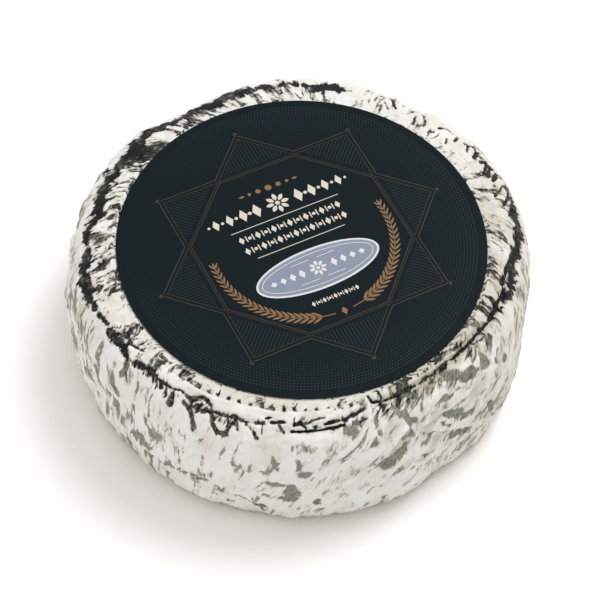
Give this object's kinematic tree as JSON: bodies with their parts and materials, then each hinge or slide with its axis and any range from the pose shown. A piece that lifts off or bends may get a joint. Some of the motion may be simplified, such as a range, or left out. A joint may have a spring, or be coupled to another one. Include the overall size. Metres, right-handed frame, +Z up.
{
  "type": "soft-ripened cheese",
  "caption": "whole low wheel of soft-ripened cheese with rounded shoulders, a creased ash and white-mould rind, a flat base and a thin round paper label on top",
  "frame": {"origin": "middle of the flat base that the wheel stands on", "axes": "+Z up through the wheel's middle; the front, where the rind is pinched and creased, faces -Y"},
  "size_m": [0.166, 0.1694, 0.0548],
  "materials": {
    "rind": "matt, creased, powdery white mould over grey ash",
    "printed_paper": "smooth printed paper with a soft sheen"
  },
  "bodies": {
    "root": {"wheel": "rind", "label": "printed_paper"}
  },
  "joints": []
}
